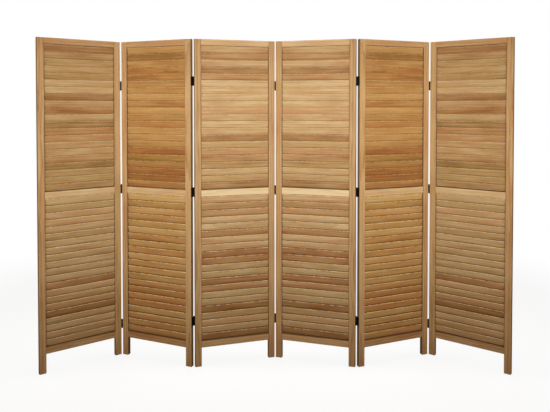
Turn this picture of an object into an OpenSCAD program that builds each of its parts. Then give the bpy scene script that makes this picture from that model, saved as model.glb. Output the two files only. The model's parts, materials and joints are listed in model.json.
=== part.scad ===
// Folding screen of six louvred wooden panels, standing in a zigzag.
// Each panel is a frame of two stiles and three rails, with two banks of slats.
// A slat turns on a round tenon at each end, held in bores in the stiles.
// The panels are joined by butt hinges whose knuckles lie in front and behind in turn.
// X runs along the screen, Y away from the viewer, Z up, with the feet at Z = 0.

/* [Panels] */
// Height of a panel from the floor to its top
panel_h = 1700; // [1500:5:1900]
// Width of a panel over its two stiles
panel_w = 430; // [340:1:500]
// Turn of the two outer panels from the line of the screen, in degrees
outer_turn = 36; // [20:0.1:45]
// Turn of the second and fifth panels, in degrees
middle_turn = 22.4; // [10:0.1:40]
// Turn of the two panels in the middle, in degrees
inner_turn = 17; // [8:0.1:40]

/* [Frame] */
// Width of a stile, seen from the front
stile_w = 34; // [28:0.5:50]
// Thickness of a stile, from front to back
stile_t = 22; // [16:0.5:30]
// Chamfer along the edges of the stiles
stile_ease = 1; // [0.5:0.1:3]
// Chamfer at the feet and at the top ends of the stiles
foot_ease = 2; // [0.5:0.1:4]
// Height of the legs, from the floor to the underside of the bottom rail
leg_h = 98; // [60:1:200]
// Height of the bottom rail
bottom_rail_h = 33.5; // [28:0.5:60]
// Height of the middle rail
middle_rail_h = 33.5; // [28:0.5:60]
// Underside of the middle rail above the floor
middle_rail_z = 886.5; // [800:0.5:980]
// Height of the top rail
top_rail_h = 31.5; // [25:0.5:60]
// Thickness of the rails
rail_t = 20; // [14:0.5:28]
// Chamfer along the edges of the rails
rail_ease = 1; // [0.3:0.1:2]
// Thickness of the tenons that join the rails to the stiles
rail_tenon_t = 8; // [5:0.5:10]
// Length of the rail tenons
rail_tenon_l = 14; // [10:0.5:20]
// Shoulder above and below a rail tenon
rail_shoulder = 5; // [2:0.5:8]
// Room around a rail tenon in its mortise
mortise_gap = 0.2; // [0.1:0.05:0.5]

/* [Slats] */
// Slats in each of a panel's two banks
slat_count = 21; // [16:1:22]
// Thickness of a slat
slat_t = 6; // [4:0.1:8]
// Chamfer along the edges of a slat
slat_ease = 1.9; // [0.3:0.1:2.5]
// How far a slat laps over the next one
slat_lap = 3.5; // [0.5:0.1:5]
// Gap between the faces of two neighbouring slats, which stand a little short of closed
slat_gap = 2; // [0.2:0.05:3]
// Gap between the end of a slat and the stile
slat_end_gap = 0.6; // [0.4:0.1:4]
// Gap between the lowest slat of a bank and the rail below it
slat_foot_gap = 0.3; // [0.2:0.1:3]
// Gap between the highest slat of a bank and the rail above it
slat_head_gap = 0.6; // [0.4:0.1:8]
// Radius of the round tenons that a slat turns on
slat_tenon_r = 2.5; // [1.5:0.1:3]
// Length of a slat's tenon inside the stile
slat_tenon_l = 8; // [5:0.5:12]
// Clearance around a slat's tenon, on the radius
slat_tenon_fit = 0.05; // [0.01:0.01:0.1]
// Room at the end of a slat's tenon
slat_tenon_end = 0.5; // [0.2:0.1:2]
// Which slat of the upper bank is the one made to turn, counted from below
upper_turning = 11; // [3:1:14]
// Which slat of the lower bank is the one made to turn, counted from below
lower_turning = 6; // [3:1:14]

/* [Hinges] */
// Gap between two panels when they are in line
panel_gap = 3; // [2.5:0.1:12]
// Distance of a hinge's pin from the face of the stile
pin_offset = 4; // [3.5:0.1:12]
// Length of a hinge
hinge_l = 47; // [30:1:80]
// Thickness of a hinge leaf
leaf_t = 1.5; // [1:0.1:2]
// Width of the part of a leaf that lies on the stile's edge
leaf_w = 20; // [12:0.5:24]
// Gap between the two leaves of a hinge when the panels are in line, if the leaves are let in
leaf_room = 0.6; // [0.3:0.1:1.5]
// Room around a leaf in its pocket in the stile
pocket_gap = 0.2; // [0.1:0.05:0.5]
// Outer radius of the knuckles
knuckle_r = 3; // [2.8:0.1:4]
// Knuckles in a hinge
knuckle_count = 5; // [3:2:7]
// Gap between neighbouring knuckles
knuckle_gap = 0.3; // [0.2:0.05:0.6]
// Radius of the hinge pin
pin_r = 1.5; // [1.2:0.1:2.4]
// Clearance around the hinge pin, on the radius
pin_fit = 0.05; // [0.01:0.01:0.1]
// Radius of the riveted heads of the pin
pin_head_r = 2.5; // [2:0.1:3.6]
// Height of the riveted heads of the pin
pin_head_h = 1.2; // [0.6:0.1:2]
// Gap between a pin's head and the last knuckle
pin_head_gap = 0.2; // [0.1:0.05:0.5]
// Hinges that carry the two outer panels: height of the lowest above the floor, of the
// middle one above the underside of the middle rail, and depth of the highest below the top
outer_hinge_z = [170, 20, 236]; // [10:0.5:400]
// Hinges of the second and fourth joints, in the same way
second_hinge_z = [235.5, 22, 216]; // [10:0.5:400]
// Hinges of the middle joint, in the same way
middle_hinge_z = [214, 19.5, 237.5]; // [10:0.5:400]

/* [Hinge screws] */
// Screws in each leaf
screw_count = 3; // [2:1:3]
// Distance between the screws of a leaf
screw_pitch = 14; // [12:0.5:16]
// Radius over the thread of a screw
screw_r = 1.5; // [1:0.1:1.8]
// Radius of the pilot bore that a screw's thread cuts into
pilot_r = 1.2; // [0.8:0.1:1.5]
// Length of a screw under its leaf
screw_l = 12; // [8:0.5:14]
// Radius of a screw's countersunk head
screw_head_r = 2.9; // [2.2:0.1:3.2]
// Clearance around a screw in its leaf
screw_fit = 0.1; // [0.05:0.05:0.3]
// Width of the slot in a screw's head
screw_slot_w = 0.7; // [0.4:0.1:1]
// Depth of the slot in a screw's head
screw_slot_d = 0.6; // [0.3:0.1:0.8]

/* [Hidden] */
$fn = 48;
past = 1;                       // how far a cut runs past the face it opens
first_panel = 1;
last_panel = 6;
root_joint = 3;                 // the joint in the middle, which lies on X = 0
stile_names = ["left_stile", "right_stile"];
slat_row_names = ["upper", "lower"];

// Rails: underside and height of each, from the bottom up
top_rail_z = panel_h - top_rail_h;
rail_places = [
    [leg_h, bottom_rail_h],
    [middle_rail_z, middle_rail_h],
    [top_rail_z, top_rail_h],
];
opening_w = panel_w - 2 * stile_w;

// Banks of slats: lower edge and height of each opening
lower_bank_z = leg_h + bottom_rail_h;
lower_bank_h = middle_rail_z - lower_bank_z;
upper_bank_z = middle_rail_z + middle_rail_h;
upper_bank_h = top_rail_z - upper_bank_z;

// The slats stand a little short of closed, leaning forward over the next ones down.
// Both banks use the same slat, so it is wide enough for the bank with the wider spacing
// and leans enough to clear its neighbours in the bank with the narrower one.
bank_room = slat_foot_gap + slat_head_gap;
tall_bank_h = max(lower_bank_h, upper_bank_h);
short_bank_h = min(lower_bank_h, upper_bank_h);
function slat_pitch(bank_h, reach) = (bank_h - bank_room - reach) / (slat_count - 1);
function tilt_at(reach) = asin((slat_t + slat_gap) / slat_pitch(short_bank_h, reach));
function w_at(reach) = slat_pitch(tall_bank_h, reach) * cos(tilt_at(reach)) + slat_lap;
function reach_at(reach) = w_at(reach) * cos(tilt_at(reach)) + slat_t * sin(tilt_at(reach));
// The height that a leaning slat takes up and the spacing depend on each other, so they are
// worked out in turn until they settle
function settled_reach(reach, rounds) =
    rounds == 0 ? reach : settled_reach(reach_at(reach), rounds - 1);
slat_reach = settled_reach(tall_bank_h / slat_count, 8);
slat_tilt = tilt_at(slat_reach);
slat_w = w_at(slat_reach);
slat_len = opening_w - 2 * slat_end_gap;
slat_axis_y = stile_t / 2;

// Hinges: two leaves too thick for the gap between the panels are let into the stiles' edges
leaf_sink = max(0, leaf_t + leaf_room / 2 - panel_gap / 2);
leaf_x = -panel_gap / 2 - leaf_sink;    // back face of a left leaf, from its pin
leaf_reach = pin_offset + leaf_w;
knuckle_l = hinge_l / knuckle_count;
notch_r = max(knuckle_r, -leaf_x) + past;   // half of the notch for the other leaf's knuckle
pin_bore_r = pin_r + pin_fit;
screw_hole_r = screw_r + screw_fit;
screw_y = pin_offset + leaf_w / 2;
screw_head_h = leaf_t * 0.75;
function hinge_heights(joint) =
    let (z = [outer_hinge_z, second_hinge_z, middle_hinge_z][min(joint, last_panel - joint) - 1])
    [z[0], middle_rail_z + z[1], panel_h - z[2]];

turns = [outer_turn, -middle_turn, inner_turn, -inner_turn, middle_turn, -outer_turn];

function turn_of(i) = turns[i - 1];
function turned(a, v) = [v[0] * cos(a) - v[1] * sin(a), v[0] * sin(a) + v[1] * cos(a)];
function in_front(joint) = joint % 2 == 1;
function pin_y(joint) = in_front(joint) ? -pin_offset : stile_t + pin_offset;
function right_pin(i) = [panel_w + panel_gap / 2, pin_y(i)];
function left_pin(i) = [-panel_gap / 2, pin_y(i - 1)];

// The chain of panels, worked out from the middle joint to both ends
function panel_place(i) = i <= root_joint
    ? joint_place(i) - turned(turn_of(i), right_pin(i))
    : joint_place(i - 1) - turned(turn_of(i), left_pin(i));
function joint_place(j) = j == root_joint
    ? [0, 0]
    : j < root_joint
        ? panel_place(j + 1) + turned(turn_of(j + 1), left_pin(j + 1))
        : panel_place(j) + turned(turn_of(j), right_pin(j));

// Depth of the whole screen, so that it stands centred on Y = 0
panel_corners = [
    for (x = [0, panel_w], y = [0, stile_t], s = [0, 1])
        [x == 0 ? s * stile_ease : x - s * stile_ease,
         y == 0 ? (1 - s) * stile_ease : y - (1 - s) * stile_ease]
];
corner_ys = [
    for (i = [first_panel:last_panel], c = panel_corners)
        panel_place(i)[1] + turned(turn_of(i), c)[1]
];
knuckle_ys = [
    for (j = [first_panel:last_panel - 1], s = [-1, 1]) joint_place(j)[1] + s * knuckle_r
];
front_y = min(concat(corner_ys, knuckle_ys));
back_y = max(concat(corner_ys, knuckle_ys));
mid_y = (front_y + back_y) / 2;

function slat_z(bank_z, bank_h, k) =
    bank_z + slat_foot_gap + slat_reach / 2 + (k - 1) * slat_pitch(bank_h, slat_reach);
slat_rows = [
    [upper_bank_z, upper_bank_h, upper_turning],
    [lower_bank_z, lower_bank_h, lower_turning],
];
function row_slat_z(row, k) = slat_z(row[0], row[1], k);

function panel_name(i, piece) = str("panel_", i, "_", piece);
function pins_name(j) = str("hinge_pins_", j, "_", j + 1);

// Puts a piece drawn in a panel's own frame, front lower left corner at the origin,
// where that panel stands
module in_panel(i) {
    place = panel_place(i);
    translate([place[0], place[1] - mid_y, 0])
        rotate([0, 0, turn_of(i)])
            children();
}

// A rectangle w by h with its four corners cut
module eased_outline(w, h, ease) {
    polygon([
        [ease, 0], [w - ease, 0], [w, ease], [w, h - ease],
        [w - ease, h], [ease, h], [0, h - ease], [0, ease],
    ]);
}

// Lays an outline drawn in X and Y so that it runs along the panel's width
module along_width(l) {
    rotate([90, 0, 90])
        linear_extrude(l)
            children();
}

// A stile with its inner edge to the right: the left stile of a panel
module plain_stile() {
    intersection() {
        linear_extrude(panel_h)
            eased_outline(stile_w, stile_t, stile_ease);
        translate([0, stile_t, 0])
            rotate([90, 0, 0])
                linear_extrude(stile_t)
                    eased_outline(stile_w, panel_h, foot_ease);
    }
}

module rail_tenon(rail_h, gap = 0) {
    translate([-rail_tenon_l - gap, (stile_t - rail_tenon_t) / 2 - gap, rail_shoulder - gap])
        cube([
            rail_tenon_l + gap + past,
            rail_tenon_t + 2 * gap,
            rail_h - 2 * (rail_shoulder - gap),
        ]);
}

module mortises() {
    for (rail = rail_places)
        translate([stile_w, 0, rail[0]])
            rail_tenon(rail[1], mortise_gap);
}

module slat_bores() {
    depth = slat_tenon_l + slat_tenon_end;
    for (row = slat_rows, k = [1:slat_count])
        translate([stile_w - depth, slat_axis_y, row_slat_z(row, k)])
            rotate([0, 90, 0])
                cylinder(r = slat_tenon_r + slat_tenon_fit, h = depth + past);
}

// Moves what is drawn about a hinge's pin, for a leaf on the left, to a panel's edge
module at_hinges(i, right) {
    joint = right ? i : i - 1;
    pin = right ? right_pin(i) : left_pin(i);
    for (z = hinge_heights(joint))
        translate([pin[0], pin[1], z - hinge_l / 2])
            mirror([right ? 0 : 1, 0, 0])
                mirror([0, in_front(joint) ? 0 : 1, 0])
                    children();
}

function has_left_hinge(i) = i > first_panel;
function has_right_hinge(i) = i < last_panel;

// Drawn on each screw's axis, with X pointing from the wood out through the leaf
module at_screws() {
    for (k = [0:screw_count - 1])
        translate([
            leaf_x,
            screw_y,
            hinge_l / 2 + (k - (screw_count - 1) / 2) * screw_pitch,
        ])
            children();
}

// Pilot bores for a hinge's screws, and the pocket that its leaf lies in
module hinge_cuts(i, right) {
    at_hinges(i, right) {
        at_screws()
            translate([-screw_l - past, 0, 0])
                rotate([0, 90, 0])
                    cylinder(r = pilot_r, h = screw_l + 2 * past);
        if (leaf_sink > 0)
            translate([leaf_x, 0, -pocket_gap])
                cube([leaf_sink + past, leaf_reach + pocket_gap, hinge_l + 2 * pocket_gap]);
    }
}

module left_stile(i) {
    color("burlywood")
        in_panel(i)
            difference() {
                plain_stile();
                mortises();
                slat_bores();
                if (has_left_hinge(i)) hinge_cuts(i, false);
            }
}

module right_stile(i) {
    color("burlywood")
        in_panel(i)
            difference() {
                translate([panel_w, 0, 0])
                    mirror([1, 0, 0])
                        difference() {
                            plain_stile();
                            mortises();
                            slat_bores();
                        }
                if (has_right_hinge(i)) hinge_cuts(i, true);
            }
}

module rail(rail_h) {
    translate([stile_w, 0, 0]) {
        translate([0, (stile_t - rail_t) / 2, 0])
            along_width(opening_w)
                eased_outline(rail_t, rail_h, rail_ease);
        rail_tenon(rail_h);
        translate([opening_w, 0, 0])
            mirror([1, 0, 0])
                rail_tenon(rail_h);
    }
}

module rails(i) {
    color("wheat")
        in_panel(i)
            for (place = rail_places)
                translate([0, 0, place[0]])
                    rail(place[1]);
}

// One slat about its own axis, as it stands: its upper edge leans to the front
module slat() {
    translate([stile_w + slat_end_gap, 0, 0])
        rotate([slat_tilt, 0, 0])
            translate([0, -slat_t / 2, -slat_w / 2])
                along_width(slat_len)
                    eased_outline(slat_t, slat_w, slat_ease);
    translate([stile_w - slat_tenon_l, 0, 0])
        rotate([0, 90, 0])
            cylinder(r = slat_tenon_r, h = opening_w + 2 * slat_tenon_l);
}

module row_slat(row, k) {
    translate([0, slat_axis_y, row_slat_z(row, k)])
        slat();
}

module slats(i) {
    color("peru")
        in_panel(i)
            for (row = slat_rows, k = [1:slat_count])
                if (k != row[2]) row_slat(row, k);
}

module turning_slat(i, row) {
    color("peru")
        in_panel(i)
            row_slat(row, row[2]);
}

// A leaf about its hinge's pin, lying on the edge of a stile to the left of it.
// The leaves of one hinge have every other knuckle each.
module leaf(owns_ends) {
    difference() {
        union() {
            translate([leaf_x, 0, 0])
                cube([leaf_t, leaf_reach, hinge_l]);
            for (k = [0:knuckle_count - 1])
                if ((k % 2 == 0) == owns_ends)
                    translate([0, 0, k * knuckle_l])
                        cylinder(r = knuckle_r, h = knuckle_l);
        }
        for (k = [0:knuckle_count - 1])
            if ((k % 2 == 0) != owns_ends)
                translate([
                    -notch_r,
                    -notch_r,
                    k * knuckle_l - (k == 0 ? past : knuckle_gap / 2),
                ])
                    cube([
                        2 * notch_r,
                        2 * notch_r,
                        knuckle_l + (k == 0 ? past : knuckle_gap / 2)
                            + (k == knuckle_count - 1 ? past : knuckle_gap / 2),
                    ]);
        translate([0, 0, -past])
            cylinder(r = pin_bore_r, h = hinge_l + 2 * past);
        at_screws()
            screw_hole();
    }
}

module screw_hole() {
    translate([-past, 0, 0])
        rotate([0, 90, 0])
            cylinder(r = screw_hole_r, h = leaf_t + 2 * past);
    translate([leaf_t - screw_head_h, 0, 0])
        rotate([0, 90, 0])
            cylinder(r1 = screw_hole_r, r2 = screw_head_r + screw_fit, h = screw_head_h);
    translate([leaf_t, 0, 0])
        rotate([0, 90, 0])
            cylinder(r = screw_head_r + screw_fit, h = past);
}

module screw() {
    difference() {
        union() {
            translate([-screw_l, 0, 0])
                rotate([0, 90, 0])
                    cylinder(r = screw_r, h = screw_l + leaf_t - screw_head_h);
            translate([leaf_t - screw_head_h, 0, 0])
                rotate([0, 90, 0])
                    cylinder(r1 = screw_r, r2 = screw_head_r, h = screw_head_h);
        }
        translate([leaf_t - screw_slot_d, -screw_head_r - past, -screw_slot_w / 2])
            cube([screw_slot_d + past, 2 * (screw_head_r + past), screw_slot_w]);
    }
}

// The panel nearer the middle of the screen carries the pin and the end knuckles
module left_hinge_leaves(i) {
    color("dimgray")
        in_panel(i)
            at_hinges(i, false)
                leaf(i - 1 < root_joint);
}

module right_hinge_leaves(i) {
    color("dimgray")
        in_panel(i)
            at_hinges(i, true)
                leaf(i >= root_joint);
}

module hinge_screws(i) {
    color("black")
        in_panel(i) {
            if (has_left_hinge(i)) at_hinges(i, false) at_screws() screw();
            if (has_right_hinge(i)) at_hinges(i, true) at_screws() screw();
        }
}

module hinge_pins(j) {
    place = joint_place(j);
    head_z = pin_head_gap + pin_head_h;
    color("dimgray")
        for (z = hinge_heights(j))
            translate([place[0], place[1] - mid_y, z - hinge_l / 2]) {
                translate([0, 0, -head_z])
                    cylinder(r = pin_r, h = hinge_l + 2 * head_z);
                translate([0, 0, -head_z])
                    cylinder(r = pin_head_r, h = pin_head_h);
                translate([0, 0, hinge_l + pin_head_gap])
                    cylinder(r = pin_head_r, h = pin_head_h);
            }
}

for (i = [first_panel:last_panel]) {
    left_stile(i);
    right_stile(i);
    rails(i);
    slats(i);
    turning_slat(i, slat_rows[0]);
    turning_slat(i, slat_rows[1]);
    hinge_screws(i);
}
for (i = [first_panel + 1:last_panel])
    left_hinge_leaves(i);
for (i = [first_panel:last_panel - 1])
    right_hinge_leaves(i);
for (j = [first_panel:last_panel - 1])
    hinge_pins(j);
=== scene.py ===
import json
import math
import random

import bpy
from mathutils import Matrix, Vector


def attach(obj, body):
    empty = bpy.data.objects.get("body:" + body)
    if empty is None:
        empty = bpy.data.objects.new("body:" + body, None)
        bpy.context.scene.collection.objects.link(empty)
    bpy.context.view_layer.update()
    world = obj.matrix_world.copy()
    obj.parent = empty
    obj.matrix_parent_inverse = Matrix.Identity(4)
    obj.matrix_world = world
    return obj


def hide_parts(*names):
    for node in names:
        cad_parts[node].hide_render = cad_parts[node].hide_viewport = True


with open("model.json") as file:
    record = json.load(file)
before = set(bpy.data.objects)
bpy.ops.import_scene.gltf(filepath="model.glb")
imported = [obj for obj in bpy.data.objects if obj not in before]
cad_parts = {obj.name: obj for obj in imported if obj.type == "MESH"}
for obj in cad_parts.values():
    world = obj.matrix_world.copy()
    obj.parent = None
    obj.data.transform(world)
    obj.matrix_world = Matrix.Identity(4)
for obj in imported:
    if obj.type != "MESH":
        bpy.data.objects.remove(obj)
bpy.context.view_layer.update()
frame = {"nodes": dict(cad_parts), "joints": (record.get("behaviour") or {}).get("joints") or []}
print("frame loaded with", len(frame["nodes"]), "nodes")

panelCount = 6
mirrorSum = panelCount + 1          # panel 1 is mirrored by panel 6, 2 by 5 and 3 by 4

# the whole panel, as in the part's source, in metres
panelSize = {
    "height": 1.7,
    "width": 0.430,
    "stileWidth": 0.034,
    "stileDepth": 0.022,
    "railDepth": 0.020,
    "rails": {                      # underside and height of each
        "bottom": (0.098, 0.0335),
        "middle": (0.8865, 0.0335),
        "top": (1.6685, 0.0315),
    },
}

# the slats; those in the two banks of a panel are alike
slatSize = {
    "count": 21,
    "thickness": 0.006,
    "lap": 0.0035,
    "faceGap": 0.0020,
    "endGap": 0.0006,
    "footGap": 0.0003,
    "headGap": 0.0006,
    "edgeRadius": 0.0019,
    "edgeSteps": 3,
    "tenonRadius": 0.0025,
    "tenonLength": 0.008,
    "tenonSides": 14,
    "wobble": 0.25,                 # how far a slat may stand off its neighbours' lean, in degrees
}
settleRounds = 8                    # enough for the slats' width to settle, as in the source

white = (1.0, 1.0, 1.0, 1.0)
black = (0.0, 0.0, 0.0, 1.0)


def linear(red, green, blue):
    # a colour given as 0 to 255, as the shaders want it
    def channel(value):
        value /= 255
        return value / 12.92 if value <= 0.04045 else ((value + 0.055) / 1.055) ** 2.4
    return (channel(red), channel(green), channel(blue), 1.0)


class Wire:
    # one output socket, which can be reckoned with
    def __init__(self, sheet, socket):
        self.sheet = sheet
        self.socket = socket

    def reckon(self, operation, other=None, flipped=False):
        terms = [self] if other is None else ([other, self] if flipped else [self, other])
        return self.sheet.add("ShaderNodeMath", {"operation": operation}, dict(enumerate(terms)))

    def __add__(self, other):
        return self.reckon("ADD", other)

    __radd__ = __add__

    def __mul__(self, other):
        return self.reckon("MULTIPLY", other)

    __rmul__ = __mul__

    def __sub__(self, other):
        return self.reckon("SUBTRACT", other)

    def __rsub__(self, other):
        return self.reckon("SUBTRACT", other, True)

    def __truediv__(self, other):
        return self.reckon("DIVIDE", other)

    def __rtruediv__(self, other):
        return self.reckon("DIVIDE", other, True)

    def __pow__(self, other):
        return self.reckon("POWER", other)

    def fraction(self):
        return self.reckon("FRACT")

    def root(self):
        return self.reckon("SQRT")

    def size(self):
        return self.reckon("ABSOLUTE")

    def larger(self, other):
        return self.reckon("MAXIMUM", other)


class Sheet:
    # the nodes of a material or of the world
    def __init__(self, owner):
        self.owner = owner
        self.owner.use_nodes = True
        self.tree = self.owner.node_tree
        self.tree.nodes.clear()

    def add(self, kind, settings=None, sockets=None, outlet=0):
        node = self.tree.nodes.new(kind)
        for key, value in (settings or {}).items():
            if key == "stops":
                ramp = node.color_ramp
                while len(ramp.elements) < len(value):
                    ramp.elements.new(0.5)
                for element, (position, colour) in zip(ramp.elements, value):
                    element.position = position
                    element.color = colour
            else:
                setattr(node, key, value)
        for key, value in (sockets or {}).items():
            if isinstance(value, Wire):
                self.tree.links.new(value.socket, node.inputs[key])
            else:
                node.inputs[key].default_value = value
        return Wire(self, node.outputs[outlet])

    def outlets(self, kind, names, sockets=None):
        # several outputs of one node
        node = self.add(kind, {}, sockets).socket.node
        return [Wire(self, node.outputs[name]) for name in names]

    def attribute(self, name, outlet="Fac"):
        return self.add("ShaderNodeAttribute", {"attribute_name": name}, {}, outlet)

    def vector(self, x, y, z):
        return self.add("ShaderNodeCombineXYZ", {}, {0: x, 1: y, 2: z})

    def noise(self, place, scale=1.0, detail=2.0, roughness=0.5):
        return self.add("ShaderNodeTexNoise", {"noise_dimensions": "3D"},
                        {"Vector": place, "Scale": scale, "Detail": detail, "Roughness": roughness}, "Fac")

    def smooth(self, value, low, high):
        # 0 up to low, 1 from high, and a soft step between them
        return self.add("ShaderNodeMapRange", {"interpolation_type": "SMOOTHSTEP"},
                        {0: value, 1: low, 2: high, 3: 0.0, 4: 1.0})

    def blendColours(self, amount, first, second, mode="MIX"):
        return self.add("ShaderNodeMix", {"data_type": "RGBA", "blend_type": mode},
                        {0: amount, 6: first, 7: second}, 2)

    def bump(self, height, strength, distance):
        return self.add("ShaderNodeBump", {},
                        {"Strength": strength, "Distance": distance, "Height": height}, "Normal")

    def finish(self, shader, kind="ShaderNodeOutputMaterial"):
        output = self.tree.nodes.new(kind)
        self.tree.links.new(shader.socket, output.inputs["Surface"])
        return self.owner


def settleSlats():
    # the same reckoning as in the part's source: the height that a leaning slat takes up and
    # the spacing depend on each other
    rails = panelSize["rails"]
    banks = {
        "lower": (sum(rails["bottom"]), rails["middle"][0]),
        "upper": (sum(rails["middle"]), rails["top"][0]),
    }
    room = slatSize["footGap"] + slatSize["headGap"]
    heights = [high - low for low, high in banks.values()]
    tall, short = max(heights), min(heights)

    def spacing(height, reach):
        return (height - room - reach) / (slatSize["count"] - 1)

    def lean(reach):
        return math.asin((slatSize["thickness"] + slatSize["faceGap"]) / spacing(short, reach))

    def width(reach):
        return spacing(tall, reach) * math.cos(lean(reach)) + slatSize["lap"]

    reach = tall / slatSize["count"]
    for _ in range(settleRounds):
        reach = width(reach) * math.cos(lean(reach)) + slatSize["thickness"] * math.sin(lean(reach))
    heightsOf = {
        bank: [low + slatSize["footGap"] + reach / 2 + k * spacing(high - low, reach)
               for k in range(slatSize["count"])]
        for bank, (low, high) in banks.items()
    }
    return heightsOf, lean(reach), width(reach)


slatHeights, slatLean, slatWidth = settleSlats()
slatLength = panelSize["width"] - 2 * panelSize["stileWidth"] - 2 * slatSize["endGap"]


# what a user would change about the two cuts of wood; a fade is where a painted shade, or the wear and
# painted highlight on an edge, starts and where it is full, as distances in from the edge
slatWood = {
    "name": "slatWood",
    "ringWidth": 0.0075,
    "ringDepth": 0.12,
    "wander": 0.030,
    "streaks": 0.50,
    "patches": 0.36,
    "fibres": 0.24,
    "stops": [
        (0.00, (92, 60, 30)), (0.25, (138, 99, 55)), (0.50, (178, 141, 92)),
        (0.75, (202, 170, 122)), (1.00, (224, 200, 156)),
    ],
    "redTint": (232, 152, 108),
    "oliveTint": (226, 232, 196),
    "goldTint": (240, 210, 138),
    "hueDrift": 1.7,                # how much the hue changes within one board
    "roughness": 0.58,
    "lapPaintedShade": (58, 38, 22),       # painted shade in the crease where two slats lap
    "lapFade": (0.0040, 0.0034),
    "lapSide": (0.0000, 0.0006),
    "lapDepth": 0.90,
    "shadeFrom": -0.0004,           # how far up a face the painted shade from its lapped edge begins
    "edgeWearAndHighlight": (236, 208, 160),    # where the lacquer has worn thin on an edge, with a painted highlight where that edge catches the light
    "edgeFade": (0.0040, 0.0028),
    "edgeSide": (-0.0002, 0.0010),
    "edgeDepth": 4.0,               # as a multiple of the slat's shade
    "barePace": 42.0,               # how fast the worn edge comes and goes along the slat
    "barePatches": (0.36, 0.66),
    "endPaintedShade": (70, 46, 28),       # painted shade along the ends, in the gap beside the stiles
    "endFade": (0.0018, 0.0005),
    "endDepth": 0.75,
}
frameWood = {
    "name": "frameWood",
    "ringWidth": 0.0100,
    "ringDepth": 0.22,
    "wander": 0.035,
    "streaks": 0.52,
    "patches": 0.34,
    "fibres": 0.20,
    "stops": [
        (0.00, (106, 70, 36)), (0.25, (150, 108, 62)), (0.50, (186, 147, 98)),
        (0.75, (207, 172, 124)), (1.00, (228, 202, 158)),
    ],
    "redTint": (226, 160, 116),
    "oliveTint": (232, 236, 206),
    "hueDrift": 1.2,
    "roughness": 0.56,
    "sidePaintedShade": (66, 44, 26),      # painted shade on a board's narrow faces, which turn away from the lamps
    "sideFade": (0.0009, 0.0002),
    "sideDepth": 0.52,
}

# what the two have in common
woodGrain = {
    "slide": 3.7,                   # how far a pattern moves along the board with its seed
    "bendPace": 1.6,                # how fast the grain's own slow bend changes
    "bendShift": 1.3,
    "pithSpread": 0.12,             # where the middle of the rings may lie, in metres
    "pithDepth": (0.012, 0.090),
    "rippleDepth": 0.9,             # how far the rings ripple, in rings
    "lateWood": 3.0,                # the higher, the narrower the dark part of a ring
    "ringBalance": 0.25,
    "tint": 0.60,
    "specular": 0.18,
    "roughnessSpread": 0.22,
    "fibreRelief": 0.60,
    "streakRelief": 0.30,
    "ringRelief": 0.25,
    "bumpStrength": 0.35,
    "bumpDistance": 0.0004,
}

# each pattern: its pace along and across a board, its shift with the seed, detail and roughness
woodPatterns = {
    "ripple": (6.0, 60.0, 0.0, 2.0, 0.5),
    "streak": (3.0, 190.0, 5.0, 3.0, 0.6),
    "patch": (6.5, 22.0, 9.0, 2.0, 0.5),
    "fibre": (26.0, 1300.0, 0.0, 2.0, 0.7),
    "heart": (4.0, 34.0, 2.0, 1.0, 0.5),
}


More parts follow.
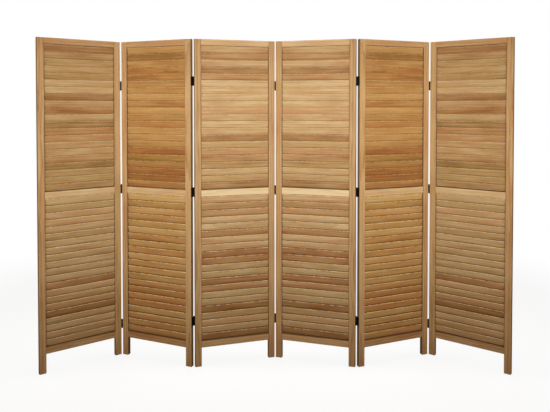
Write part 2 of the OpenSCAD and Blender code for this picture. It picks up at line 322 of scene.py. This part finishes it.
def makeWood(recipe):
    sheet = Sheet(bpy.data.materials.new(recipe["name"]))
    along, across, depth = sheet.outlets("ShaderNodeSeparateXYZ", (0, 1, 2),
                                         {0: sheet.attribute("grainPlace", "Vector")})
    seed = sheet.attribute("seed")
    chance = sheet.add("ShaderNodeTexWhiteNoise", {"noise_dimensions": "1D"}, {"W": seed}, "Color")
    pith, pithDepth = sheet.outlets("ShaderNodeSeparateColor", (0, 1), {0: chance})
    slide = seed * woodGrain["slide"]

    def pattern(name, start):
        alongPace, acrossPace, shift, detail, roughness = woodPatterns[name]
        place = sheet.vector(along * alongPace + start, across * acrossPace + seed * shift,
                             depth * acrossPace)
        return sheet.noise(place, detail=detail, roughness=roughness)

    # the board's grain wanders along its length, and the rings follow
    bend = sheet.noise(sheet.vector(along * woodGrain["bendPace"] + slide,
                                    seed * woodGrain["bendShift"], 0.0), detail=1.0)
    sway = (bend - 0.5) * recipe["wander"]
    nearest, span = woodGrain["pithDepth"]
    sideways = across + sway + (pith - 0.5) * woodGrain["pithSpread"]
    inwards = depth + sway + pithDepth * span + nearest
    radius = (sideways ** 2.0 + inwards ** 2.0).root()
    ripple = pattern("ripple", slide)
    ring = (radius / recipe["ringWidth"] + ripple * woodGrain["rippleDepth"]).fraction()
    lateWood = ring ** woodGrain["lateWood"]

    streak = pattern("streak", slide)
    fibre = pattern("fibre", slide)
    level = (sheet.attribute("tone") * 0.5 + 0.5
             + (streak - 0.5) * recipe["streaks"]
             + (pattern("patch", slide) - 0.5) * recipe["patches"]
             + (fibre - 0.5) * recipe["fibres"]
             - lateWood * recipe["ringDepth"] + recipe["ringDepth"] * woodGrain["ringBalance"])
    stops = [(position, linear(*colour)) for position, colour in recipe["stops"]]
    colour = sheet.add("ShaderNodeValToRGB", {"stops": stops}, {0: level}, "Color")
    hue = sheet.attribute("warmth") + (pattern("heart", 0.0 - slide) - 0.5) * recipe["hueDrift"]
    for value, tint in ((hue, recipe["redTint"]), (0.0 - hue, recipe["oliveTint"])):
        amount = sheet.add("ShaderNodeMath", {"operation": "MULTIPLY", "use_clamp": True},
                           {0: value, 1: woodGrain["tint"]})
        tinted = sheet.blendColours(amount, white, linear(*tint))
        colour = sheet.blendColours(1.0, colour, tinted, "MULTIPLY")

    gloss = (fibre - 0.5) * woodGrain["roughnessSpread"] + recipe["roughness"]
    if "lapPaintedShade" in recipe:
        colour = shadeAndWearSlat(sheet, recipe, colour, (along, across, depth), seed, slide)
    # painted shade on the narrow faces, which the lamps light less; there they are rougher too
    if "sidePaintedShade" in recipe:
        fadeFrom, fadeTo = recipe["sideFade"]
        turnedAway = sheet.smooth(across.size() - sheet.attribute("rim"), -fadeFrom, -fadeTo)
        colour = sheet.blendColours(turnedAway * recipe["sideDepth"], colour,
                                    linear(*recipe["sidePaintedShade"]))
        gloss = gloss + turnedAway * (1.0 - recipe["roughness"])

    relief = (fibre * woodGrain["fibreRelief"] + streak * woodGrain["streakRelief"]
              - lateWood * woodGrain["ringRelief"])
    shader = sheet.add("ShaderNodeBsdfPrincipled", {}, {
        "Base Color": colour, "Roughness": gloss,
        "Normal": sheet.bump(relief, woodGrain["bumpStrength"], woodGrain["bumpDistance"]),
        "Specular IOR Level": woodGrain["specular"],
    })
    return sheet.finish(shader)


def shadeAndWearSlat(sheet, recipe, colour, place, seed, slide):
    # a front face laps at its lower edge and a back face at its upper one, where painted shade darkens it;
    # the other edge of each is worn, with a painted highlight where it catches the light
    along, across, depth = place
    edge = slatWidth / 2
    side = across * depth / edge

    def nearEdge(distance, end, fade):
        return sheet.smooth(distance, end - fade[0], end - fade[1])

    def blendTowards(amount, name):
        return sheet.blendColours(amount, colour, linear(*recipe[name]))

    shade = sheet.attribute("shade")
    golden = sheet.blendColours(sheet.attribute("gold"), white, linear(*recipe["goldTint"]))
    colour = sheet.blendColours(1.0, colour, golden, "MULTIPLY")
    # painted shade on each face, darker toward its lapped edge
    sunk = sheet.smooth(side, recipe["shadeFrom"], slatSize["thickness"] / 2)
    colour = blendTowards(sunk * shade, "lapPaintedShade")
    # the upper front edges: lacquer worn thin, with a painted highlight where they catch the light
    worn = nearEdge(across.size(), edge, recipe["edgeFade"])
    worn = worn * sheet.smooth(0.0 - side, *recipe["edgeSide"])
    bare = sheet.noise(sheet.vector(along * recipe["barePace"] + slide, seed, 0.0),
                       detail=3.0, roughness=0.65)
    worn = worn * sheet.smooth(bare, *recipe["barePatches"])
    colour = blendTowards(worn * shade * recipe["edgeDepth"], "edgeWearAndHighlight")
    # painted shade along the slat's ends, in the gap beside the stiles
    ended = nearEdge(along.size(), slatLength / 2, recipe["endFade"])
    colour = blendTowards(ended * recipe["endDepth"], "endPaintedShade")
    # painted shade in the crease, where a neighbour laps over the edge
    lapped = nearEdge(across.size(), edge, recipe["lapFade"])
    lapped = lapped * sheet.smooth(side, *recipe["lapSide"])
    return blendTowards(lapped * recipe["lapDepth"], "lapPaintedShade")


hingeSteel = {
    "name": "hingeLacquer",
    "lacquer": (20, 12, 8),
    "scuff": (54, 42, 34),
    "scuffScale": 420.0,
    "roughness": (0.40, 0.65),      # lowest and highest
}
screwSteel = {
    "name": "screwLacquer",
    "lacquer": (26, 23, 21),
    "scuff": (104, 96, 88),
    "scuffScale": 900.0,
    "roughness": (0.20, 0.45),
}

# what the two have in common
steelFinish = {
    "scuffStops": (0.58, 0.72),
    "fineness": 6.0,                # of the small scuffs, as a multiple of the large ones
    "largeShare": 0.7,
    "metallic": 0.3,
    "specular": 0.08,
    "bumpStrength": 0.2,
    "bumpDistance": 0.0002,
}


def makeSteel(recipe):
    sheet = Sheet(bpy.data.materials.new(recipe["name"]))
    place = sheet.add("ShaderNodeTexCoord", {}, {}, "Object")
    large = sheet.noise(place, recipe["scuffScale"], detail=3.0, roughness=0.6)
    small = sheet.noise(place, recipe["scuffScale"] * steelFinish["fineness"], detail=2.0, roughness=0.6)
    scuffs = large * steelFinish["largeShare"] + small * (1.0 - steelFinish["largeShare"])
    worn = sheet.add("ShaderNodeValToRGB", {"stops": list(zip(steelFinish["scuffStops"], (black, white)))},
                     {0: scuffs}, "Color")
    smoothest, roughest = recipe["roughness"]
    shader = sheet.add("ShaderNodeBsdfPrincipled", {}, {
        "Base Color": sheet.blendColours(worn, linear(*recipe["lacquer"]), linear(*recipe["scuff"])),
        "Roughness": small * (roughest - smoothest) + smoothest,
        "Normal": sheet.bump(small, steelFinish["bumpStrength"], steelFinish["bumpDistance"]),
        "Metallic": worn * steelFinish["metallic"],
        "Specular IOR Level": steelFinish["specular"],
    })
    return sheet.finish(shader)


materials = {
    "slat": makeWood(slatWood),
    "frame": makeWood(frameWood),
    "hinge": makeSteel(hingeSteel),
    "screw": makeSteel(screwSteel),
}
print("materials made:", ", ".join(materials))

joints = {joint["name"]: joint for joint in frame["joints"]}


def panelFrame(number):
    # front lower left corner, direction along the panel and direction to its back
    joint = joints[f"turn_{number}_upper"]
    along = Vector(joint["axis"]).normalized()
    back = Vector((-along.y, along.x, 0))
    corner = Vector(joint["pos_m"]) - along * panelSize["width"] / 2 - back * panelSize["stileDepth"] / 2
    corner.z = 0
    return corner, along, back


panels = {number: panelFrame(number) for number in range(1, panelCount + 1)}


def stand(number, x, y, z):
    # a point of a panel, in the frame that all pieces share
    corner, along, back = panels[number]
    return tuple(corner + along * x + back * y + Vector((0, 0, z)))


def twin(number):
    # the panel in the left half whose boards this one repeats, and whether it's mirrored
    return (number, 1) if number <= panelCount // 2 else (mirrorSum - number, -1)


leastRound = 0.35                   # of a corner's radius that is left at an eased end


def ringOfBar(width, depth, inset, radius, steps):
    # one cross-section with round corners, drawn in by the inset
    w, d = width - 2 * inset, depth - 2 * inset
    r = max(radius - inset, radius * leastRound)
    points = []
    for cornerX, cornerY, start in ((w - r, d - r, 0), (r, d - r, 90), (r, r, 180), (w - r, r, 270)):
        for step in range(steps + 1):
            angle = math.radians(start + 90 * step / steps)
            points.append((inset + cornerX + r * math.cos(angle), inset + cornerY + r * math.sin(angle)))
    return points


def easedBar(width, depth, length, radius, endEase, steps=3):
    # a bar along its third axis, closed, with round edges and eased ends
    rings = []
    for step in range(steps + 1):
        angle = math.radians(90 * step / steps)
        rings.append((endEase * (1 - math.cos(angle)), endEase * (1 - math.sin(angle))))
    rings += [(length - rise, inset) for rise, inset in reversed(rings)]
    vertices, faces = [], []
    for rise, inset in rings:
        vertices += [(x, y, rise) for x, y in ringOfBar(width, depth, inset, radius, steps)]
    count = 4 * (steps + 1)
    for level in range(len(rings) - 1):
        for k in range(count):
            a, b = level * count + k, level * count + (k + 1) % count
            faces.append((a, b, b + count, a + count))
    faces.append(tuple(reversed(range(count))))
    last = (len(rings) - 1) * count
    faces.append(tuple(last + k for k in range(count)))
    return vertices, faces


def addObject(name, vertices, faces):
    mesh = bpy.data.meshes.new(name)
    mesh.from_pydata(vertices, [], faces)
    mesh.update()
    piece = bpy.data.objects.new(name, mesh)
    bpy.context.scene.collection.objects.link(piece)
    return piece


def spread(mesh, name, kind, values):
    # one value for each vertex
    layer = mesh.attributes.new(name, kind, "POINT")
    if kind == "FLOAT_VECTOR":
        layer.data.foreach_set("vector", [c for v in values for c in v])
    else:
        layer.data.foreach_set("value", values)


stileLook = {
    "edgeRadius": 0.0015,
    "endEase": 0.0020,
    "seed": 11.0,
    "tone": {1: (-0.02, 0.06), 2: (0.02, 0.04), 3: (-0.06, -0.02)},       # left and right stile
    "warmth": {1: (0.14, -0.20), 2: (0.16, -0.05), 3: (0.00, 0.06)},
}
railLook = {
    "edgeRadius": 0.0014,
    "endEase": 0.0004,
    "seed": 41.0,
    "tone": {
        1: {"bottom": 0.0, "middle": 0.50, "top": 0.05},
        2: {"bottom": -0.05, "middle": 0.40, "top": 0.05},
        3: {"bottom": 0.18, "middle": 1.00, "top": 0.42},
    },
    "warmth": {
        1: {"bottom": 0.15, "middle": -0.20, "top": 0.35},
        2: {"bottom": 0.30, "middle": 0.10, "top": 0.25},
        3: {"bottom": 0.12, "middle": -0.35, "top": 0.15},
    },
}


def dressBoards(name, boards, body, nodeName):
    # joins the boards in one mesh, each with its own tone, warmth, seed and rim
    vertices, faces, grain = [], [], []
    for board in boards:
        first = len(vertices)
        vertices += board["vertices"]
        faces += [tuple(first + k for k in face) for face in board["faces"]]
        grain += board["grain"]
    piece = addObject(name, vertices, faces)
    spread(piece.data, "grainPlace", "FLOAT_VECTOR", grain)
    for trait in ("tone", "warmth", "seed", "rim"):
        spread(piece.data, trait, "FLOAT", [board[trait] for board in boards for _ in board["vertices"]])
    piece.data.materials.append(materials["frame"])
    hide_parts(nodeName)
    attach(piece, body)


def makeStile(number, side):
    source, facing = twin(number)
    vertices, faces = easedBar(panelSize["stileWidth"], panelSize["stileDepth"], panelSize["height"],
                               stileLook["edgeRadius"], stileLook["endEase"])
    offset = 0 if side == "left" else panelSize["width"] - panelSize["stileWidth"]
    which = 0 if (side == "left") == (facing > 0) else 1    # a mirrored panel's sides are swapped
    middle = panelSize["stileWidth"] / 2
    board = {
        "vertices": [stand(number, offset + x, y, z) for x, y, z in vertices],
        "faces": faces,
        "grain": [(z, facing * (x - middle), y) for x, y, z in vertices],
        "tone": stileLook["tone"][source][which],
        "warmth": stileLook["warmth"][source][which],
        "seed": stileLook["seed"] + source * 2 + which,
        "rim": middle,
    }
    dressBoards(f"panel{number}{side.capitalize()}Stile", [board], f"panel_{number}",
                f"panel_{number}_{side}_stile")


def makeRails(number):
    source, facing = twin(number)
    length = panelSize["width"] - 2 * panelSize["stileWidth"]
    setBack = (panelSize["stileDepth"] - panelSize["railDepth"]) / 2
    boards = []
    for order, (place, (underside, height)) in enumerate(panelSize["rails"].items()):
        vertices, faces = easedBar(panelSize["railDepth"], height, length,
                                   railLook["edgeRadius"], railLook["endEase"])
        boards.append({
            # the bar's own length runs along the panel
            "vertices": [stand(number, panelSize["stileWidth"] + z, setBack + x, underside + y)
                         for x, y, z in vertices],
            "faces": faces,
            "grain": [(facing * (z - length / 2), y - height / 2, x) for x, y, z in vertices],
            "tone": railLook["tone"][source][place],
            "warmth": railLook["warmth"][source][place],
            "seed": railLook["seed"] + source * 4 + order,
            "rim": height / 2,
        })
    dressBoards(f"panel{number}Rails", boards, f"panel_{number}", f"panel_{number}_rails")


for number in range(1, panelCount + 1):
    makeStile(number, "left")
    makeStile(number, "right")
    makeRails(number)
print("frames of", panelCount, "panels made")

slatLook = {
    "seed": 7,
    "toneSpread": 0.12,
    "warmthSpread": 0.294,
    "grainSeeds": (1, 99),
    "panelTone": {1: -0.02, 2: -0.04, 3: 0.01},
    "panelWarmth": {1: 0.04, 2: 0.14, 3: 0.06},
    "panelGold": {1: 0.04, 2: 0.58, 3: 0.00},
    # painted light: the lower bank's slats are made paler, to make up for the lamps' light that reaches
    # them less
    "bankPaintedLight": {"lower": 0.34, "upper": 0.06},
    "bankShade": {"lower": 0.17, "upper": 0.08},    # how dark each face is toward its lapped edge
    "turning": {"upper": 11, "lower": 6},           # the slats that have a joint of their own
    "kinds": {                      # tone and warmth of boards that stand out
        "pale": (0.36, -0.04),
        "yellow": (0.26, 0.02),
        "pink": (0.14, 0.42),
        "orange": (-0.02, 0.45),
        "red": (-0.10, 0.62),
        "dark": (-0.24, 0.34),
    },
    "standOut": {                   # counted from the lowest slat of a bank
        1: {
            "upper": {8: "pink", 9: "orange", 14: "dark", 15: "pale", 16: "yellow", 21: "dark"},
            "lower": {5: "dark", 9: "orange", 14: "pale", 15: "pale"},
        },
        2: {"upper": {2: "dark", 3: "red", 6: "red"}, "lower": {}},
        3: {
            "upper": {
                1: "dark", 3: "yellow", 5: "orange", 6: "pink", 9: "yellow", 10: "pale", 13: "pale",
                14: "pale", 15: "pale", 16: "pale", 17: "orange", 18: "dark", 19: "yellow", 20: "orange",
            },
            "lower": {
                1: "dark", 5: "dark", 8: "pink", 9: "red", 11: "yellow", 12: "orange", 13: "red",
                16: "orange", 17: "pale", 18: "pale", 19: "pink",
            },
        },
    },
}


def newTree(name, inputs):
    tree = bpy.data.node_groups.new(name, "GeometryNodeTree")
    tree.interface.new_socket("Geometry", in_out="INPUT", socket_type="NodeSocketGeometry")
    for label, kind in inputs:
        tree.interface.new_socket(label, in_out="INPUT", socket_type=kind)
    tree.interface.new_socket("Geometry", in_out="OUTPUT", socket_type="NodeSocketGeometry")
    return tree


def plant(tree, kind, settings=None, sockets=None):
    # adds a node; a socket takes a number or another node's output
    node = tree.nodes.new(kind)
    for key, value in (settings or {}).items():
        setattr(node, key, value)
    for key, value in (sockets or {}).items():
        if isinstance(value, bpy.types.NodeSocket):
            tree.links.new(value, node.inputs[key])
        else:
            node.inputs[key].default_value = value
    return node


def growTree(piece, tree, values):
    # runs the tree on the piece and keeps the result as a plain mesh
    modifier = piece.modifiers.new(tree.name, "NODES")
    modifier.node_group = tree
    for item in tree.interface.items_tree:
        if item.item_type == "SOCKET" and item.in_out == "INPUT" and item.name in values:
            modifier[item.identifier] = values[item.name]
    graph = bpy.context.evaluated_depsgraph_get()
    graph.update()
    mesh = bpy.data.meshes.new_from_object(piece.evaluated_get(graph))
    piece.modifiers.clear()
    piece.data = mesh
    piece.data.name = piece.name


def makeSlatTree():
    numbers = ("Length", "Width", "Thickness", "Edge Radius", "Tenon Radius", "Tenon Reach",
               "Lean", "Turn", "Wobble")
    counts = ("Edge Steps", "Tenon Sides", "Seed")
    tree = newTree("slatBank", [
        *((name, "NodeSocketFloat") for name in numbers),
        *((name, "NodeSocketInt") for name in counts),
        ("Material", "NodeSocketMaterial"),
    ])
    given = plant(tree, "NodeGroupInput").outputs

    def reckon(operation, first, second):
        return plant(tree, "ShaderNodeMath", {"operation": operation}, {0: first, 1: second}).outputs[0]

    def endAt(share):
        # a point on the slat's axis, at that share of its length from the middle
        offset = reckon("MULTIPLY", given["Length"], share)
        return plant(tree, "ShaderNodeCombineXYZ", {}, {0: offset}).outputs[0]

    outline = plant(tree, "GeometryNodeCurvePrimitiveQuadrilateral", {"mode": "RECTANGLE"},
                    {"Width": given["Thickness"], "Height": given["Width"]})
    rounded = plant(tree, "GeometryNodeFilletCurve", {"mode": "POLY"},
                    {"Curve": outline.outputs[0], "Radius": given["Edge Radius"],
                     "Count": given["Edge Steps"]})
    line = plant(tree, "GeometryNodeCurvePrimitiveLine", {}, {"Start": endAt(-0.5), "End": endAt(0.5)})
    blade = plant(tree, "GeometryNodeCurveToMesh", {},
                  {"Curve": line.outputs[0], "Profile Curve": rounded.outputs[0], "Fill Caps": True})
    dowel = plant(tree, "GeometryNodeMeshCylinder", {"fill_type": "NGON"},
                  {"Vertices": given["Tenon Sides"], "Radius": given["Tenon Radius"],
                   "Depth": given["Tenon Reach"]})
    laid = plant(tree, "GeometryNodeTransform", {},
                 {"Geometry": dowel.outputs["Mesh"], "Rotation": (0.0, math.radians(90), 0.0)})
    whole = plant(tree, "GeometryNodeJoinGeometry")
    tree.links.new(blade.outputs[0], whole.inputs[0])
    tree.links.new(laid.outputs[0], whole.inputs[0])
    place = plant(tree, "GeometryNodeInputPosition").outputs[0]
    marked = plant(tree, "GeometryNodeStoreNamedAttribute",
                   {"data_type": "FLOAT_VECTOR", "domain": "POINT"},
                   {"Geometry": whole.outputs[0], "Name": "slatPlace", "Value": place})
    # each slat leans a little more or less than the rest
    identity = plant(tree, "GeometryNodeInputIndex").outputs[0]
    chance = plant(tree, "FunctionNodeRandomValue", {"data_type": "FLOAT"},
                   {2: reckon("MULTIPLY", given["Wobble"], -1.0), 3: given["Wobble"],
                    "ID": identity, "Seed": given["Seed"]})
    leaning = reckon("ADD", given["Lean"], chance.outputs[1])
    turned = plant(tree, "ShaderNodeCombineXYZ", {}, {0: leaning, 2: given["Turn"]}).outputs[0]
    placed = plant(tree, "GeometryNodeInstanceOnPoints", {},
                   {"Points": given["Geometry"], "Instance": marked.outputs[0], "Rotation": turned})
    real = plant(tree, "GeometryNodeRealizeInstances", {}, {"Geometry": placed.outputs[0]})
    painted = plant(tree, "GeometryNodeSetMaterial", {},
                    {"Geometry": real.outputs[0], "Material": given["Material"]})
    plant(tree, "NodeGroupOutput", {}, {0: painted.outputs[0]})
    return tree


slatTree = makeSlatTree()


def slatBoards():
    # tone, warmth and grain of each slat of the left half; the right half repeats them
    chance = random.Random(slatLook["seed"])
    boards = {}
    for number in range(1, panelCount // 2 + 1):
        for bank in ("lower", "upper"):
            for k in range(1, slatSize["count"] + 1):
                # the bank's share of the tone is painted light, paler in the lower bank
                tone = slatLook["panelTone"][number] + slatLook["bankPaintedLight"][bank]
                tone += chance.gauss(0, slatLook["toneSpread"])
                warmth = slatLook["panelWarmth"][number] + chance.gauss(0, slatLook["warmthSpread"])
                kind = slatLook["standOut"][number][bank].get(k)
                if kind:
                    tone, warmth = slatLook["kinds"][kind]
                boards[number, bank, k] = (tone, warmth, chance.uniform(*slatLook["grainSeeds"]))
    return boards


slatBoardOf = slatBoards()


def growSlats(name, number, chosen, body, nodeName):
    # chosen: bank and number of each slat that belongs to this piece
    source, facing = twin(number)
    along = panels[number][1]
    points = [stand(number, panelSize["width"] / 2, panelSize["stileDepth"] / 2, slatHeights[bank][k - 1])
              for bank, k in chosen]
    piece = addObject(name, points, [])
    looks = [slatBoardOf[source, bank, k] for bank, k in chosen]
    for trait, values in zip(("tone", "warmth", "seed"), zip(*looks)):
        spread(piece.data, trait, "FLOAT", values)
    spread(piece.data, "shade", "FLOAT", [slatLook["bankShade"][bank] for bank, k in chosen])
    spread(piece.data, "gold", "FLOAT", [slatLook["panelGold"][source]] * len(chosen))
    growTree(piece, slatTree, {
        "Length": slatLength,
        "Width": slatWidth,
        "Thickness": slatSize["thickness"],
        "Edge Radius": slatSize["edgeRadius"],
        "Edge Steps": slatSize["edgeSteps"],
        "Tenon Radius": slatSize["tenonRadius"],
        "Tenon Reach": slatLength + 2 * slatSize["endGap"] + 2 * slatSize["tenonLength"],
        "Tenon Sides": slatSize["tenonSides"],
        "Lean": slatLean,
        "Turn": math.atan2(along.y, along.x),
        "Wobble": math.radians(slatSize["wobble"]) if len(chosen) > 1 else 0.0,
        "Seed": source,
        "Material": materials["slat"],
    })
    mesh = piece.data
    places = [0.0] * (3 * len(mesh.vertices))
    mesh.attributes["slatPlace"].data.foreach_get("vector", places)
    grain = [(facing * places[j], places[j + 2], places[j + 1]) for j in range(0, len(places), 3)]
    spread(mesh, "grainPlace", "FLOAT_VECTOR", grain)
    mesh.attributes.remove(mesh.attributes["slatPlace"])
    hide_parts(nodeName)
    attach(piece, body)


for number in range(1, panelCount + 1):
    fixed = [(bank, k) for bank in slatHeights for k in range(1, slatSize["count"] + 1)
             if k != slatLook["turning"][bank]]
    growSlats(f"panel{number}Slats", number, fixed, f"panel_{number}", f"panel_{number}_slats")
    for bank in slatHeights:
        growSlats(f"panel{number}{bank.capitalize()}TurningSlat", number,
                  [(bank, slatLook["turning"][bank])],
                  f"panel_{number}_{bank}_slat", f"panel_{number}_turning_slat_{bank}")
print("slats made, lean", round(math.degrees(slatLean), 2), "degrees, width",
      round(slatWidth * 1000, 2), "mm")

# the hinges keep the source's own shapes
for name, node in frame["nodes"].items():
    if "hinge" in name:
        for place in node.material_slots:
            place.material = materials["screw" if "screws" in name else "hinge"]
print("hinges finished")

studio = {
    "floorSize": 30.0,
    "floorBounce": (106, 72, 38),
    "floorSeen": (0.95, 0.95, 0.95, 1.0),
    "floorShow": 0.88,              # how much of what the camera sees of the floor is plain white
    "floorFade": (1.8, 3.4),        # from here to here it fades into the plain white, in metres
    "worldStrength": 0.10,
    "worldTint": (255, 206, 146),   # of the light that the room gives, not of what is seen
    "lamps": {
        "frontLamp": {"place": (0, -2.40, 1.00), "aim": (0, 0, 1.423), "size": (4.4, 0.6),
                      "spread": 90, "power": 34.0},
        "backLamp": {"place": (0, 2.40, 1.00), "aim": (0, 0, 1.423), "size": (4.4, 0.6),
                     "spread": 90, "power": 34.0},
        "overLamp": {"place": (0, 0, 4.20), "aim": (0, 0, 0), "size": (4.4, 0.4),
                     "spread": 60, "power": 20.0},
    },
}


def seenDirectly(sheet):
    # 1 for what the camera sees, in gloss and through glass too, and 0 for the light it throws
    rays = ("Is Camera Ray", "Is Glossy Ray", "Is Transmission Ray")
    camera, glossy, through = sheet.outlets("ShaderNodeLightPath", rays)
    return camera.larger(glossy).larger(through)


def makeFloor():
    half = studio["floorSize"] / 2
    floor = addObject("floor", [(-half, -half, 0), (half, -half, 0), (half, half, 0), (-half, half, 0)],
                      [(0, 1, 2, 3)])
    sheet = Sheet(bpy.data.materials.new("floorWhite"))
    seen = seenDirectly(sheet)
    colour = sheet.blendColours(seen, linear(*studio["floorBounce"]), studio["floorSeen"])
    diffuse = sheet.add("ShaderNodeBsdfDiffuse", {}, {"Color": colour})
    glow = sheet.add("ShaderNodeEmission", {}, {"Color": white, "Strength": 1.0})
    place = sheet.add("ShaderNodeTexCoord", {}, {}, "Object")
    distance = sheet.add("ShaderNodeVectorMath", {"operation": "LENGTH"}, {0: place}, "Value")
    far = sheet.smooth(distance, *studio["floorFade"])
    shown = seen * (far * (1 - studio["floorShow"]) + studio["floorShow"])
    shader = sheet.add("ShaderNodeMixShader", {}, {0: shown, 1: diffuse, 2: glow})
    floor.data.materials.append(sheet.finish(shader))


def makeWorld():
    sheet = Sheet(bpy.data.worlds.new("studio"))
    seen = seenDirectly(sheet)
    strength = sheet.add("ShaderNodeMix", {}, {0: seen, 2: studio["worldStrength"], 3: 1.0})
    tint = sheet.blendColours(seen, linear(*studio["worldTint"]), white)
    light = sheet.add("ShaderNodeBackground", {}, {"Color": tint, "Strength": strength})
    bpy.context.scene.world = sheet.finish(light, "ShaderNodeOutputWorld")


def makeLamp(name, look):
    lamp = bpy.data.lights.new(name, "AREA")
    lamp.shape = "RECTANGLE"
    lamp.size, lamp.size_y = look["size"]
    lamp.energy = look["power"]
    lamp.spread = math.radians(look["spread"])
    holder = bpy.data.objects.new(name, lamp)
    holder.location = look["place"]
    aim = Vector(look["aim"]) - Vector(look["place"])
    holder.rotation_euler = aim.to_track_quat("-Z", "Y").to_euler()
    bpy.context.scene.collection.objects.link(holder)


cameraLook = {
    "place": (0.0, -3.0822, 1.3575),
    "down": 1.340,                  # how far it looks down, in degrees
    "lens": 38.682,
    "sensor": 36.0,
    "shiftUp": -0.15745,
    "shiftAcross": -0.00036,
}


def placeCamera():
    data = bpy.data.cameras.new("camera")
    data.lens = cameraLook["lens"]
    data.sensor_width = cameraLook["sensor"]
    data.shift_x = cameraLook["shiftAcross"]
    data.shift_y = cameraLook["shiftUp"]
    camera = bpy.data.objects.new("camera", data)
    camera.location = cameraLook["place"]
    camera.rotation_euler = (math.radians(90 - cameraLook["down"]), 0, 0)
    bpy.context.scene.collection.objects.link(camera)
    bpy.context.scene.camera = camera


makeFloor()
makeWorld()
for name, look in studio["lamps"].items():
    makeLamp(name, look)
bpy.context.scene.view_settings.view_transform = "Standard"
placeCamera()
print("floor, lamps and camera placed")
